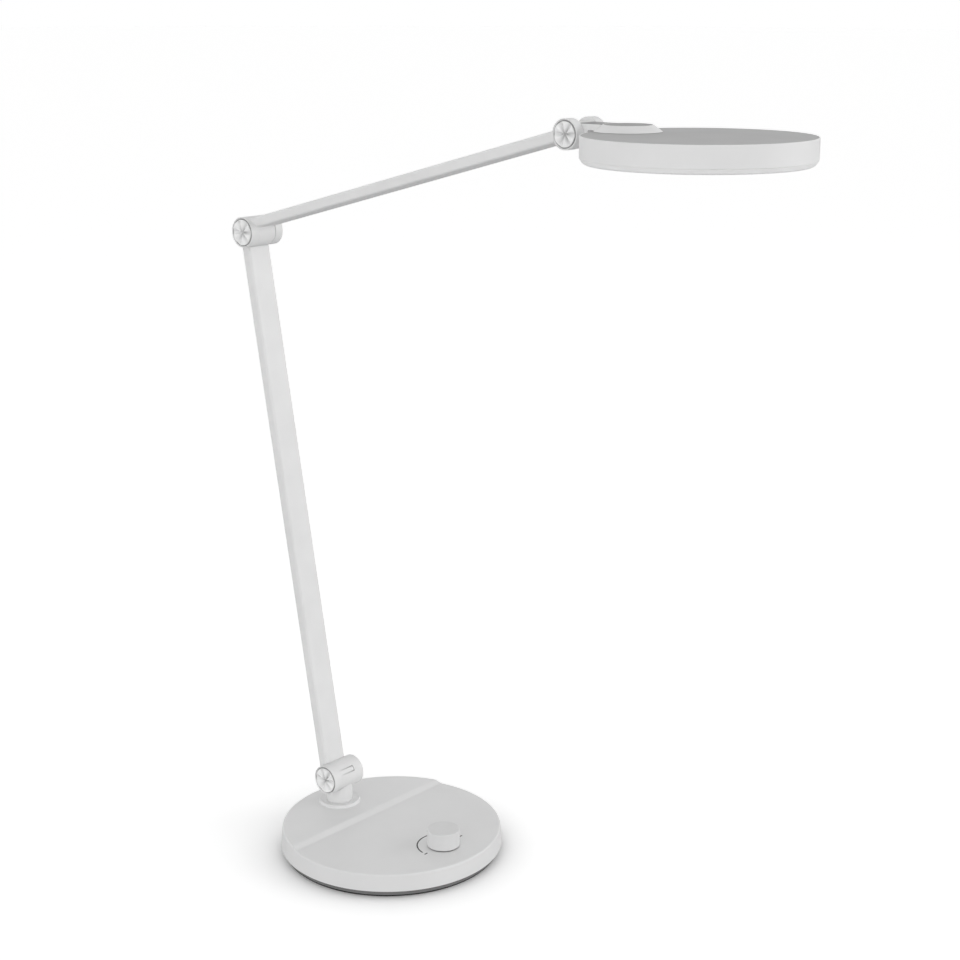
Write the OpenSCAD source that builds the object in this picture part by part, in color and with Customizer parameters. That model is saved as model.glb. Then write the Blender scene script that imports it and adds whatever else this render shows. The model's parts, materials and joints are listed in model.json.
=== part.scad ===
// Folding LED desk lamp. Millimetres, +Z up, origin at the centre of the base's underside.
// The lamp reaches forward along -Y; its three hinge axles lie along X.

/* [Base] */
// Diameter of the base at the foot of its cover
base_d = 180; // [172:1:200]
// Height of the front deck, where the knob is
deck_h = 19.6; // [19:0.1:21]
// How far the rear plateau stands above the front deck
step_h = 2.5; // [1.5:0.1:4]
// Place of the step between deck and plateau, behind the centre
step_y = 28; // [24:1:34]
// Height of the dark band below the cover
band_h = 5.7; // [5:0.1:8]
// How far the dark band is set back
band_inset = 3; // [2:0.1:4]
// Thickness of the rubber pad
pad_t = 1.5; // [1:0.1:2]
// Thickness of the bottom plate
plate_t = 2; // [1.8:0.1:2.5]
// Thickness of the steel ballast
ballast_t = 8.5; // [4:0.5:9]

/* [Post] */
// Distance of the post's axis from the rear edge of the base
post_inset = 29.5; // [27:0.5:33]
// Height of the base hinge above the plateau
hinge_rise = 23.3; // [22:0.1:30]
// Diameter of the post's neck
neck_d = 21.4; // [21:0.2:22]
// Diameter of the swivel spindle
spindle_d = 13.9; // [12.9:0.1:13.9]

/* [Hinges] */
// Diameter of the barrel at the base
base_barrel_d = 24.4; // [24:0.2:27]
// Diameter of the barrel at the elbow
elbow_barrel_d = 24; // [24:0.2:27]
// Diameter of the barrel at the head
head_barrel_d = 21; // [21:0.2:22]
// Width of every barrel
barrel_w = 34; // [34:0.5:38]
// Width of the knuckle between the two cheeks
knuckle_w = 16.8; // [16:0.1:17.4]
// Diameter of the hinge bolts
bolt_d = 6; // [5:0.1:6]

/* [Arms] */
// Length of the lower arm, hinge to hinge
lower_len = 453.5; // [300:0.5:520]
// Backward lean of the lower arm
lower_lean = 10; // [6:0.5:14]
// Thickness of the lower arm
lower_t = 9; // [9:0.1:10]
// Length of the upper arm, hinge to hinge
upper_len = 338; // [300:0.5:360]
// Rise of the upper arm above level
upper_rise = 15; // [10:0.5:20]
// Thickness of the upper arm
upper_t = 8.4; // [8:0.1:9]
// Width of both arms
bar_w = 22; // [20:0.2:24]
// Wall thickness of the arm tubes
tube_wall = 1.6; // [1.2:0.1:1.8]

/* [Head] */
// Diameter of the lamp head
head_d = 152.2; // [146:0.2:170]
// Height of the head's side wall
wall_h = 14.3; // [14:0.1:18]
// How far the diffuser stands below the wall
diffuser_drop = 3.8; // [2:0.1:5]
// Distance from the head's swivel to the middle of the head
head_reach = 56; // [50:0.5:58]
// Distance from the head hinge to the head's swivel
bracket_reach = 40.4; // [40:0.2:46]
// Diameter of the boss under the bracket
boss_d = 45.6; // [40:0.2:48]
// Diameter of the head's swivel pin
pin_d = 12; // [11:0.1:12]

/* [Dimmer] */
// Distance of the knob's axis from the front edge of the base
knob_inset = 32.8; // [30:0.2:34]
// Diameter of the knob
knob_d = 26.2; // [24:0.2:30]
// Height of the knob
knob_h = 13.9; // [13.6:0.1:18]
// Travel of the knob when it is pressed
knob_travel = 0.4; // [0.3:0.05:0.45]

/* [Clearances] */
// Radial clearance of shafts that turn in bores
run_fit = 0.05; // [0.03:0.01:0.08]
// Gap between the cheeks and the knuckle, on each side
side_gap = 0.3; // [0.2:0.05:0.4]
// Radial gap round pieces that are only set in place
loose = 0.3; // [0.2:0.05:0.4]

/* [Hidden] */
$fn = 96;
white = [0.93, 0.93, 0.93];
grey = [0.67, 0.67, 0.67];
dark = [0.42, 0.42, 0.42];
steel = [0.62, 0.63, 0.65];
brass = [0.8, 0.66, 0.35];
green = [0.16, 0.4, 0.26];
opal = [0.96, 0.96, 0.94];
rubber = [0.2, 0.2, 0.2];

// base heights
plateau_z = deck_h + step_h;
floor_z = pad_t + plate_t;
rim_z = band_h + 3.3;
roof_z = deck_h - 2.5;
plate_r = base_d / 2 - band_inset;
rim_t = 2.5;
cover_r = base_d / 2;
top_r = cover_r - 1.3;
edge_r = 1.5;
rim_bore_r = plate_r + loose;
cavity_r = cover_r - 3.7;
ballast_r = base_d / 2 - 10;
boss_inset = 18;
boss_at = base_d / 2 - boss_inset;
post_y = base_d / 2 - post_inset;
knob_y = base_d / 2 - knob_inset;
screw_r = 1.5;
screw_bite = 7;
tap_gap = 0.05;

// swivel stack, upwards from the cavity
flange_t = 1.5;
bush_wall = 2;
bush_r = spindle_d / 2 + run_fit + bush_wall;
bush_top = plateau_z + 1;
glide_t = 0.8;
neck_z = bush_top + glide_t;
collar_top = neck_z + 1.1;
spring_t = 1;
nut_t = 5;
hinge_z = plateau_z + hinge_rise;
spindle_hole_r = 4;

// hinge widths
cheek_x = knuckle_w / 2 + side_gap;
half_w = barrel_w / 2;
washer_x = knuckle_w / 2 - 0.7;
washer_r = 9;
bolt_r = bolt_d / 2;
bolt_seat_x = 11;
cap_seat_x = half_w - 3;
cap_rim = 1.3;
head_pocket_r = 6.2;
swing_gap = 0.3;
casting_len = 16;
tang_len = 24;

// arm centre lines, to the rear of and above their hinge lines
lower_off = 6.5;
elbow_off = 1.5;
upper_off = 5.5;
head_off = 4.4;
elbow_y = post_y + lower_len * sin(lower_lean) + elbow_off * cos(lower_lean);
elbow_z = hinge_z + lower_len * cos(lower_lean) - elbow_off * sin(lower_lean);
head_y = elbow_y - upper_len * cos(upper_rise) + head_off * sin(upper_rise);
head_z = elbow_z + upper_len * sin(upper_rise) + head_off * cos(upper_rise);

// head heights, from the top of the lamp head
head_top = head_z + 2.8;
swivel_y = head_y - bracket_reach;
disc_y = swivel_y - head_reach;
head_r = head_d / 2;
head_wall = 2.6;
skin_t = 1.5;
web_t = 2;
board_t = 1.6;
foil_t = 0.6;
chip_w = 3.5;
chip_d = 2.8;
chip_t = 0.7;
ring_inset = 26;
ring_pitch = 20;
outer_ring_r = head_r - ring_inset;
inner_ring_r = outer_ring_r - ring_pitch;
screw_to_swivel = 17.9;
board_screw_at = head_reach - screw_to_swivel;
head_screw_t = 1.6;
web_z = head_top - skin_t - web_t;
board_z = web_z - board_t;
foil_z = board_z - foil_t;
wall_foot = head_top - wall_h;
diffuser_z = wall_foot - diffuser_drop;
diffuser_t = 2;
bracket_glide_t = 0.4;
boss_z = head_top + bracket_glide_t;
boss_h = 4.7;
boss_top = boss_z + boss_h;
swivel_hole_r = 12.5;
pin_washer_t = 1.4;
pin_nut_t = 3.2;

// knob and encoder
enc_w = 12.4;
enc_body_z = roof_z - 6.5;
bushing_r = 3.5;
bushing_top = deck_h + 4.5;
shaft_r = 3;
stem_r = 1.9;
rotor_r = 4.4;
rotor_z = enc_body_z + 2;
rotor_t = 1.6;
knob_z = deck_h + 0.6;
knob_top = knob_z + knob_h;
knob_wall = 2;
knob_roof_t = 2.2;
pcb_z = enc_body_z - 1.6;
pcb_half = 18;
pcb_screw_x = 16;
board_head_t = 1.3;

// power socket
socket_z = roof_z - 4.7;
socket_bore_r = 2.75;
socket_face_y = cover_r - 1.1;

// bars and barrels along X, about the local origin
module x_rod(r, x0, x1) {
    translate([x0, 0, 0])
        rotate([0, 90, 0])
            cylinder(r = r, h = x1 - x0);
}

// a hexagonal bar along X, measured across its flats
module x_hex(flats, x0, x1) {
    translate([x0, 0, 0])
        rotate([0, 90, 0])
            cylinder(r = flats / 2 / cos(30), h = x1 - x0, $fn = 6);
}

// a bar section with rounded corners, flat in y and wide in x
module bar_section(w, t, r) {
    square([w - 2 * r, t], center = true);
    square([w, t - 2 * r], center = true);
    for (sx = [-1, 1], sy = [-1, 1])
        translate([sx * (w / 2 - r), sy * (t / 2 - r)])
            circle(r);
}

module bar(w, t, r, z0, z1, off) {
    translate([0, off, z0])
        linear_extrude(z1 - z0)
            bar_section(w, t, r);
}

// places in the standing lamp
module at_base_hinge() {
    translate([0, post_y, hinge_z])
        children();
}

module in_lower_arm() {
    at_base_hinge()
        rotate([-lower_lean, 0, 0])
            children();
}

module at_elbow() {
    translate([0, elbow_y, elbow_z])
        children();
}

module in_upper_arm() {
    at_elbow()
        rotate([90 - upper_rise, 0, 0])
            children();
}

module at_head_hinge() {
    translate([0, head_y, head_z])
        children();
}

// both cheeks of a fork, with the seats for bolt, nut and caps
module cheeks(r) {
    for (s = [0, 1])
        mirror([s, 0, 0])
            difference() {
                x_rod(r, cheek_x, half_w);
                cheek_cuts(r);
            }
}

module cheek_cuts(r) {
    x_rod(bolt_r + run_fit, 0, half_w + 1);
    x_rod(head_pocket_r, bolt_seat_x, half_w + 1);
    x_rod(r - cap_rim, cap_seat_x, half_w + 1);
}

// the middle knuckle, with its bore and the seats of its two washers
module knuckle_cuts() {
    x_rod(bolt_r + run_fit, -half_w, half_w);
    for (s = [0, 1])
        mirror([s, 0, 0])
            x_rod(washer_r + 0.2, washer_x, knuckle_w / 2 + 1);
}

// room for the cheeks beside a knuckle
module cheek_room(r) {
    for (s = [0, 1])
        mirror([s, 0, 0])
            x_rod(r + swing_gap + 0.1, knuckle_w / 2, half_w + 1);
}

// room for the knuckle between two cheeks
module knuckle_room(r) {
    x_rod(r + swing_gap, -cheek_x, cheek_x);
}

module hinge_bolt() {
    difference() {
        union() {
            x_rod(bolt_r, -bolt_seat_x - 2.6, bolt_seat_x);
            x_rod(5.2, bolt_seat_x, cap_seat_x - 0.3);
        }
        x_hex(4, bolt_seat_x + 1, half_w);
    }
}

module hinge_nut() {
    difference() {
        x_hex(10, -bolt_seat_x - 2.6, -bolt_seat_x);
        x_rod(bolt_r + tap_gap, -half_w, 0);
    }
}

module hinge_washers() {
    for (s = [0, 1])
        mirror([s, 0, 0])
            difference() {
                x_rod(washer_r, washer_x, cheek_x);
                x_rod(bolt_r + run_fit, washer_x - 1, half_w);
            }
}

// end caps: a disc in a rim, with six radial flutes
module hinge_caps(r) {
    cap_r = r - cap_rim - 0.05;
    for (s = [0, 1])
        mirror([s, 0, 0])
            difference() {
                x_rod(cap_r, cap_seat_x, half_w - 0.6);
                for (a = [0:60:300])
                    rotate([a, 0, 0])
                        translate([half_w - 0.6, 0, cap_r * 0.1])
                            rotate([0, -4, 0])
                                cylinder(r = cap_r * 0.13, h = cap_r);
            }
}

// tang of a casting, inside the end of an arm tube
module tang(t, off, z0, z1) {
    gap = 0.1;
    bar(bar_w - 2 * (tube_wall + gap), t - 2 * (tube_wall + gap), 0.8, z0, z1, off);
}

// screws that hold a tang, countersunk in the tube's outer face
module tang_screw(y, into) {
    translate([0, y, 0])
        rotate([90, 0, 0]) {
            cylinder(r1 = 2.8, r2 = screw_r, h = 1.3);
            cylinder(r = screw_r, h = into);
        }
}

module tang_hole(y, into) {
    translate([0, y + 0.01, 0])
        rotate([90, 0, 0]) {
            cylinder(r1 = 2.85, r2 = screw_r + tap_gap, h = 1.31);
            cylinder(r = screw_r + tap_gap, h = into);
        }
}

module tang_screws(len, t, off) {
    for (z = screw_places(len))
        translate([0, 0, z])
            tang_screw(off + t / 2, t - tube_wall - 0.5);
}

module tang_holes(len, t, off) {
    for (z = screw_places(len))
        translate([0, 0, z])
            tang_hole(off + t / 2, t - tube_wall - 0.3);
}

function screw_places(len) = [
    casting_len + 7,
    casting_len + 17,
    len - casting_len - 17,
    len - casting_len - 7
];

// base -----------------------------------------------------------

module cover_screw_places() {
    for (a = [45:90:315])
        rotate([0, 0, a])
            translate([boss_at, 0, 0])
                children();
}

module base_pad() {
    color(rubber)
        difference() {
            rotate_extrude()
                polygon([
                    [0, 0],
                    [plate_r - 1.1, 0],
                    [plate_r - 0.5, 0.6],
                    [plate_r - 0.5, pad_t],
                    [0, pad_t]
                ]);
            cover_screw_places()
                translate([0, 0, -1])
                    cylinder(r = 3.6, h = pad_t + 2);
        }
}

module ballast_screw_places() {
    for (a = [-20, 20, 160, 200])
        rotate([0, 0, a])
            translate([ballast_r - boss_inset, 0, 0])
                children();
}

module bottom_plate() {
    color(dark)
        difference() {
            translate([0, 0, pad_t])
                cylinder(r = plate_r, h = rim_z - pad_t);
            translate([0, 0, floor_z])
                cylinder(r = plate_r - rim_t, h = rim_z);
            // notch for the power socket
            translate([-8, plate_r - 8, band_h])
                cube([16, 12, rim_z]);
            cover_screw_places()
                translate([0, 0, pad_t - 0.01]) {
                    cylinder(r1 = 3.05, r2 = screw_r + tap_gap, h = 1.5);
                    cylinder(r = screw_r + tap_gap, h = plate_t + 1);
                }
            ballast_screw_places()
                translate([0, 0, pad_t - 1])
                    cylinder(r = 2 + tap_gap, h = plate_t + 2);
        }
}

module cover_solid(h) {
    rotate_extrude()
        polygon(concat(
            [[0, band_h], [cover_r - 0.4, band_h], [cover_r, band_h + 0.4]],
            [for (a = [0:15:90]) [
                top_r - edge_r + edge_r * cos(a),
                h - edge_r + edge_r * sin(a)
            ]],
            [[0, h]]
        ));
}

module base_cover() {
    color(white)
        difference() {
            union() {
                difference() {
                    union() {
                        cover_solid(deck_h);
                        intersection() {
                            cover_solid(plateau_z);
                            // the sloped front of the plateau
                            rotate([90, 0, 90])
                                translate([0, 0, -cover_r - 1])
                                    linear_extrude(2 * cover_r + 2)
                                        polygon([
                                            [step_y - 3.2, deck_h - 0.2],
                                            [step_y, plateau_z],
                                            [step_y, plateau_z + 1],
                                            [cover_r + 1, plateau_z + 1],
                                            [cover_r + 1, deck_h - 0.2]
                                        ]);
                        }
                    }
                    translate([0, 0, -1])
                        cylinder(r = rim_bore_r, h = rim_z + loose + 1);
                    translate([0, 0, band_h - 1])
                        cylinder(r = cavity_r, h = roof_z - band_h + 1);
                }
                cover_screw_places()
                    translate([0, 0, floor_z])
                        cylinder(r = 4.5, h = roof_z - floor_z + 0.5);
                for (s = [-1, 1])
                    translate([s * pcb_screw_x, -knob_y, pcb_z + 1.6])
                        cylinder(r = 2.4, h = roof_z - pcb_z - 1.1);
            }
            cover_screw_places()
                translate([0, 0, floor_z - 1])
                    cylinder(r = screw_r + tap_gap, h = screw_bite + 3);
            for (s = [-1, 1])
                translate([s * pcb_screw_x, -knob_y, pcb_z])
                    cylinder(r = 1 + tap_gap, h = 6);
            // bore of the swivel bush
            translate([0, post_y, roof_z - 1])
                cylinder(r = bush_r + tap_gap, h = plateau_z);
            // hole of the encoder's bushing
            translate([0, -knob_y, roof_z - 1])
                cylinder(r = bushing_r + 0.1, h = deck_h);
            // hole of the power socket's nose
            translate([0, cavity_r - 2, socket_z])
                rotate([-90, 0, 0])
                    cylinder(r = 4.1, h = 10);
        }
}

module ballast_weight() {
    color(steel)
        difference() {
            translate([0, 0, floor_z])
                cylinder(r = ballast_r, h = ballast_t);
            cover_screw_places()
                cylinder(r = 5.5, h = deck_h);
            ballast_screw_places()
                cylinder(r = 2.2, h = deck_h);
            // round the swivel's nut, out to the power socket
            translate([0, post_y, 0])
                cylinder(r = 15, h = deck_h);
            translate([-9, post_y, 0])
                cube([18, ballast_r, deck_h]);
            // under the control board
            translate([-pcb_half - 5, -ballast_r - 1, 0])
                cube([2 * pcb_half + 10, ballast_r - knob_y + pcb_half + 6, deck_h]);
        }
}

module ballast_screws() {
    color(steel)
        ballast_screw_places() {
            difference() {
                translate([0, 0, floor_z + ballast_t])
                    cylinder(r = 3.6, h = 2.2);
                translate([0, 0, floor_z + ballast_t + 1])
                    cylinder(r = 1.6, h = 2, $fn = 6);
            }
            translate([0, 0, pad_t + 0.1])
                cylinder(r = 2, h = floor_z - pad_t + ballast_t);
        }
}

module cover_screws() {
    color(steel)
        cover_screw_places()
            translate([0, 0, pad_t])
                difference() {
                    union() {
                        cylinder(r1 = 3, r2 = screw_r, h = 1.5);
                        cylinder(r = screw_r, h = plate_t + screw_bite);
                    }
                    translate([0, 0, -1])
                        cylinder(r = 1, h = 1.8, $fn = 6);
                }
}

module control_board() {
    color(green)
        difference() {
            translate([-pcb_half, -knob_y - pcb_half, pcb_z])
                cube([2 * pcb_half, 2 * pcb_half, 1.6]);
            for (s = [-1, 1])
                translate([s * pcb_screw_x, -knob_y, pcb_z - 1])
                    cylinder(r = 1 + tap_gap, h = 4);
        }
}

module board_screws() {
    color(steel)
        for (s = [-1, 1])
            translate([s * pcb_screw_x, -knob_y, pcb_z - board_head_t]) {
                cylinder(r = 1.9, h = board_head_t);
                cylinder(r = 1, h = board_head_t + 5);
            }
}

module driver_coil() {
    color(dark)
        translate([-11, -knob_y - 12, pcb_z + 1.6]) {
            cylinder(r = 4.5, h = 1);
            cylinder(r = 3.6, h = 4.5);
            translate([0, 0, 3.5])
                cylinder(r = 4.5, h = 1);
        }
}

module driver_chip() {
    color(rubber)
        translate([8, -knob_y - 14, pcb_z + 1.6])
            cube([7, 5, 1.6]);
}

module lead_connector() {
    color(opal)
        translate([-6, -knob_y + 10, pcb_z + 1.6])
            difference() {
                cube([12, 6, 4.8]);
                translate([1, 1, 1])
                    cube([10, 6, 2.8]);
            }
}

module dc_jack() {
    color(rubber)
        difference() {
            union() {
                translate([-5.5, cavity_r - 12, socket_z - 4.7])
                    cube([11, 11.7, 9.4]);
                translate([0, cavity_r - 1, socket_z])
                    rotate([-90, 0, 0])
                        cylinder(r = 4, h = socket_face_y - cavity_r + 1);
            }
            difference() {
                translate([0, cavity_r - 7, socket_z])
                    rotate([-90, 0, 0])
                        cylinder(r = socket_bore_r, h = 20);
                translate([0, cavity_r - 8, socket_z])
                    rotate([-90, 0, 0])
                        cylinder(r = 1, h = 9);
            }
        }
}

// base swivel ----------------------------------------------------

module swivel_collar() {
    color(white)
        translate([0, post_y, 0])
            difference() {
                rotate_extrude()
                    polygon([
                        [0, plateau_z],
                        [17.3, plateau_z],
                        [17.3, plateau_z + 0.5],
                        [neck_d / 2 + 1.1, collar_top],
                        [0, collar_top]
                    ]);
                cylinder(r = bush_r + 0.05, h = collar_top + 1);
                translate([0, 0, bush_top])
                    cylinder(r = neck_d / 2 + loose, h = 9);
            }
}

module swivel_bush() {
    color(opal)
        translate([0, post_y, 0])
            difference() {
                union() {
                    translate([0, 0, roof_z - flange_t])
                        cylinder(r = 12.5, h = flange_t);
                    translate([0, 0, roof_z - 0.1])
                        cylinder(r = bush_r, h = bush_top - roof_z + 0.1);
                }
                cylinder(r = spindle_d / 2 + run_fit, h = plateau_z + 9);
            }
}

module thrust_washer() {
    color(opal)
        translate([0, post_y, bush_top])
            difference() {
                cylinder(r = neck_d / 2, h = glide_t);
                translate([0, 0, -1])
                    cylinder(r = spindle_d / 2 + 0.1, h = glide_t + 2);
            }
}

module post_spindle() {
    color(steel)
        translate([0, post_y, 0])
            difference() {
                translate([0, 0, roof_z - flange_t - spring_t - nut_t - 1])
                    cylinder(r = spindle_d / 2, h = neck_z - roof_z + flange_t + spring_t + nut_t + 7);
                cylinder(r = spindle_hole_r, h = hinge_z);
            }
}

module spring_washer() {
    color(steel)
        translate([0, post_y, roof_z - flange_t - spring_t])
            difference() {
                cylinder(r = 11, h = spring_t);
                translate([0, 0, -1])
                    cylinder(r = spindle_d / 2 + 0.1, h = spring_t + 2);
            }
}

module post_nut() {
    color(steel)
        translate([0, post_y, roof_z - flange_t - spring_t - nut_t])
            difference() {
                cylinder(r = 18 / 2 / cos(30), h = nut_t, $fn = 6);
                translate([0, 0, -1])
                    cylinder(r = spindle_d / 2 + tap_gap, h = nut_t + 2);
            }
}

module post_fork() {
    r = base_barrel_d / 2;
    color(white)
        difference() {
            union() {
                at_base_hinge()
                    cheeks(r);
                difference() {
                    translate([0, post_y, 0]) {
                        translate([0, 0, neck_z])
                            cylinder(r = neck_d / 2, h = hinge_z - r - neck_z + 2);
                        // the neck widens into the barrel
                        translate([0, 0, hinge_z - r - 1.6])
                            cylinder(r1 = neck_d / 2, r2 = neck_d / 2 + 2, h = 2.6);
                        translate([0, 0, hinge_z - r + 1])
                            cylinder(r = neck_d / 2 + 2, h = 2.5);
                    }
                    at_base_hinge()
                        x_rod(r - cap_rim, cap_seat_x, half_w + 1);
                }
            }
            at_base_hinge()
                knuckle_room(r);
            at_base_hinge()
                for (s = [0, 1])
                    mirror([s, 0, 0])
                        cheek_cuts(r);
            translate([0, post_y, neck_z - 1])
                cylinder(r = spindle_d / 2 + tap_gap, h = 7);
            translate([0, post_y, neck_z])
                cylinder(r = spindle_hole_r, h = hinge_rise);
        }
}

// arms -----------------------------------------------------------

module root_casting(r, t, off) {
    difference() {
        union() {
            x_rod(r, -knuckle_w / 2, knuckle_w / 2);
            difference() {
                bar(bar_w, t, 2, 0, casting_len, off);
                cheek_room(r);
            }
            tang(t, off, casting_len - 1, casting_len + tang_len);
        }
        knuckle_cuts();
    }
}

module tip_casting(r, len, t, off, tip) {
    difference() {
        union() {
            translate([0, tip, len])
                cheeks(r);
            difference() {
                bar(bar_w, t, 2, len - casting_len, len, off);
                translate([0, tip, len]) {
                    for (s = [0, 1])
                        mirror([s, 0, 0])
                            cheek_cuts(r);
                }
            }
            tang(t, off, len - casting_len - tang_len, len - casting_len + 1);
        }
        translate([0, tip, len])
            knuckle_room(r);
    }
}

module arm_tube(len, t, off) {
    difference() {
        bar(bar_w, t, 2, casting_len, len - casting_len, off);
        bar(bar_w - 2 * tube_wall, t - 2 * tube_wall, 0.9, 0, len, off);
        tang_holes(len, t, off);
    }
}

module lower_knuckle() {
    r = base_barrel_d / 2;
    recess_h = 4.6;
    color(white)
        difference() {
            in_lower_arm()
                difference() {
                    root_casting(r, lower_t, lower_off);
                    tang_holes(lower_len, lower_t, lower_off);
                }
            // the shallow slot on the front of the barrel
            at_base_hinge()
                rotate([-33, 0, 0])
                    translate([-7, -r - 1, -recess_h / 2])
                        cube([14, 1.8, recess_h]);
        }
}

module base_hinge_bolt() {
    color(steel)
        at_base_hinge()
            hinge_bolt();
}

module base_hinge_nut() {
    color(steel)
        at_base_hinge()
            hinge_nut();
}

module base_hinge_caps() {
    color(white)
        at_base_hinge()
            hinge_caps(base_barrel_d / 2);
}

module base_hinge_washers() {
    color(opal)
        at_base_hinge()
            hinge_washers();
}

module lower_tube() {
    color(white)
        in_lower_arm()
            arm_tube(lower_len, lower_t, lower_off);
}

module lower_fork() {
    color(white)
        in_lower_arm()
            difference() {
                tip_casting(elbow_barrel_d / 2, lower_len, lower_t, lower_off, elbow_off);
                tang_holes(lower_len, lower_t, lower_off);
            }
}

module lower_arm_screws() {
    color(steel)
        in_lower_arm()
            tang_screws(lower_len, lower_t, lower_off);
}

module elbow_bolt() {
    color(steel)
        at_elbow()
            hinge_bolt();
}

module elbow_nut() {
    color(steel)
        at_elbow()
            hinge_nut();
}

module elbow_caps() {
    color(white)
        at_elbow()
            hinge_caps(elbow_barrel_d / 2);
}

module elbow_washers() {
    color(opal)
        at_elbow()
            hinge_washers();
}

module upper_knuckle() {
    color(white)
        in_upper_arm()
            difference() {
                root_casting(elbow_barrel_d / 2, upper_t, upper_off);
                tang_holes(upper_len, upper_t, upper_off);
            }
}

module upper_tube() {
    color(white)
        in_upper_arm()
            arm_tube(upper_len, upper_t, upper_off);
}

module upper_fork() {
    color(white)
        in_upper_arm()
            difference() {
                tip_casting(head_barrel_d / 2, upper_len, upper_t, upper_off, head_off);
                tang_holes(upper_len, upper_t, upper_off);
            }
}

module upper_arm_screws() {
    color(steel)
        in_upper_arm()
            tang_screws(upper_len, upper_t, upper_off);
}

module head_hinge_bolt() {
    color(steel)
        at_head_hinge()
            hinge_bolt();
}

module head_hinge_nut() {
    color(steel)
        at_head_hinge()
            hinge_nut();
}

module head_hinge_caps() {
    color(white)
        at_head_hinge()
            hinge_caps(head_barrel_d / 2);
}

// head bracket ---------------------------------------------------

module head_hinge_washers() {
    color(opal)
        at_head_hinge()
            hinge_washers();
}

module head_bracket() {
    r = head_barrel_d / 2 - 0.3;
    root_y = head_y - 13.5;
    color(white)
        difference() {
            union() {
                intersection() {
                    at_head_hinge()
                        x_rod(r, -knuckle_w / 2, knuckle_w / 2);
                    translate([-half_w, head_y - 2 * r, head_z - 2 * r])
                        cube([barrel_w, 4 * r, boss_top - head_z + 2 * r]);
                }
                // tongue from the barrel to the boss
                translate([-knuckle_w / 2, 0, 0])
                    rotate([90, 0, 90])
                        linear_extrude(knuckle_w)
                            polygon([
                                [head_y, head_z - 4],
                                [head_y - 9.2, head_z - 4],
                                [root_y, head_z - 1],
                                [root_y, boss_z],
                                [swivel_y, boss_z],
                                [swivel_y, boss_top],
                                [head_y, boss_top]
                            ]);
                translate([0, swivel_y, boss_z])
                    cylinder(r1 = boss_d / 2, r2 = boss_d / 2 - 6, h = boss_h);
            }
            at_head_hinge()
                knuckle_cuts();
            translate([0, swivel_y, boss_z - 1])
                cylinder(r = pin_d / 2 + tap_gap, h = boss_h - 1);
        }
}

module swivel_pin() {
    low = web_z - pin_washer_t - pin_nut_t;
    color(steel)
        translate([0, swivel_y, low])
            difference() {
                cylinder(r = pin_d / 2, h = boss_z + boss_h - 2 - low);
                translate([0, 0, -1])
                    cylinder(r = 3, h = boss_top - low - 3);
            }
}

module swivel_glide() {
    color(opal)
        translate([0, swivel_y, head_top])
            difference() {
                cylinder(r = 15, h = bracket_glide_t);
                translate([0, 0, -1])
                    cylinder(r = pin_d / 2 + 0.1, h = 3);
            }
}

module pin_washer() {
    color(steel)
        translate([0, swivel_y, web_z - pin_washer_t])
            difference() {
                cylinder(r = 10.5, h = pin_washer_t);
                translate([0, 0, -1])
                    cylinder(r = pin_d / 2 + tap_gap, h = pin_washer_t + 2);
            }
}

module pin_nut() {
    color(steel)
        translate([0, swivel_y, web_z - pin_washer_t - pin_nut_t])
            difference() {
                cylinder(r = 16 / 2 / cos(30), h = pin_nut_t, $fn = 6);
                translate([0, 0, -1])
                    cylinder(r = pin_d / 2 + tap_gap, h = pin_nut_t + 2);
            }
}

// lamp head ------------------------------------------------------

module board_screw_places() {
    for (a = [0:90:270])
        rotate([0, 0, a])
            translate([board_screw_at, 0, 0])
                children();
}

module at_disc() {
    translate([0, disc_y, 0])
        children();
}

module head_housing() {
    inner_r = head_r - head_wall;
    color(white)
        difference() {
            at_disc()
                rotate_extrude()
                    polygon([
                        [0, web_z],
                        [inner_r, web_z],
                        [inner_r, wall_foot],
                        [head_r - 0.7, wall_foot],
                        [head_r, wall_foot + 0.7],
                        [head_r, head_top - 0.6],
                        [head_r - 0.6, head_top],
                        [head_r - 0.9, head_top],
                        [head_r - 0.9, web_z + web_t],
                        [0, web_z + web_t]
                    ]);
            translate([0, swivel_y, web_z - 1])
                cylinder(r = pin_d / 2 + run_fit, h = web_t + 2);
            at_disc()
                board_screw_places()
                    translate([0, 0, web_z - 1])
                        cylinder(r = screw_r + tap_gap, h = web_t + 0.8);
        }
}

module head_top_cover() {
    color(grey)
        difference() {
            at_disc()
                translate([0, 0, head_top - skin_t])
                    cylinder(r = head_r - 0.95, h = skin_t);
            translate([0, swivel_y, head_top - skin_t - 1])
                cylinder(r = pin_d / 2 + 1, h = skin_t + 2);
        }
}

module swivel_room(z, h) {
    translate([0, swivel_y, z])
        cylinder(r = swivel_hole_r, h = h);
}

module led_board() {
    color(green)
        difference() {
            at_disc()
                translate([0, 0, board_z])
                    cylinder(r = head_r - 4.6, h = board_t);
            swivel_room(board_z - 1, board_t + 2);
            at_disc()
                board_screw_places()
                    translate([0, 0, board_z - 1])
                        cylinder(r = screw_r + tap_gap, h = board_t + 2);
        }
}

// two rings of chips; the outer one leaves room for the head's swivel at its rear
module chip_places() {
    for (a = [0:36:359])
        rotate([0, 0, a + 90])
            translate([inner_ring_r, 0, 0])
                children();
    for (a = [30:30:330])
        rotate([0, 0, a + 90])
            translate([outer_ring_r, 0, 0])
                children();
}

module led_chips() {
    color(brass)
        at_disc()
            chip_places()
                translate([-chip_w / 2, -chip_d / 2, board_z - chip_t])
                    cube([chip_w, chip_d, chip_t]);
}

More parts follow.
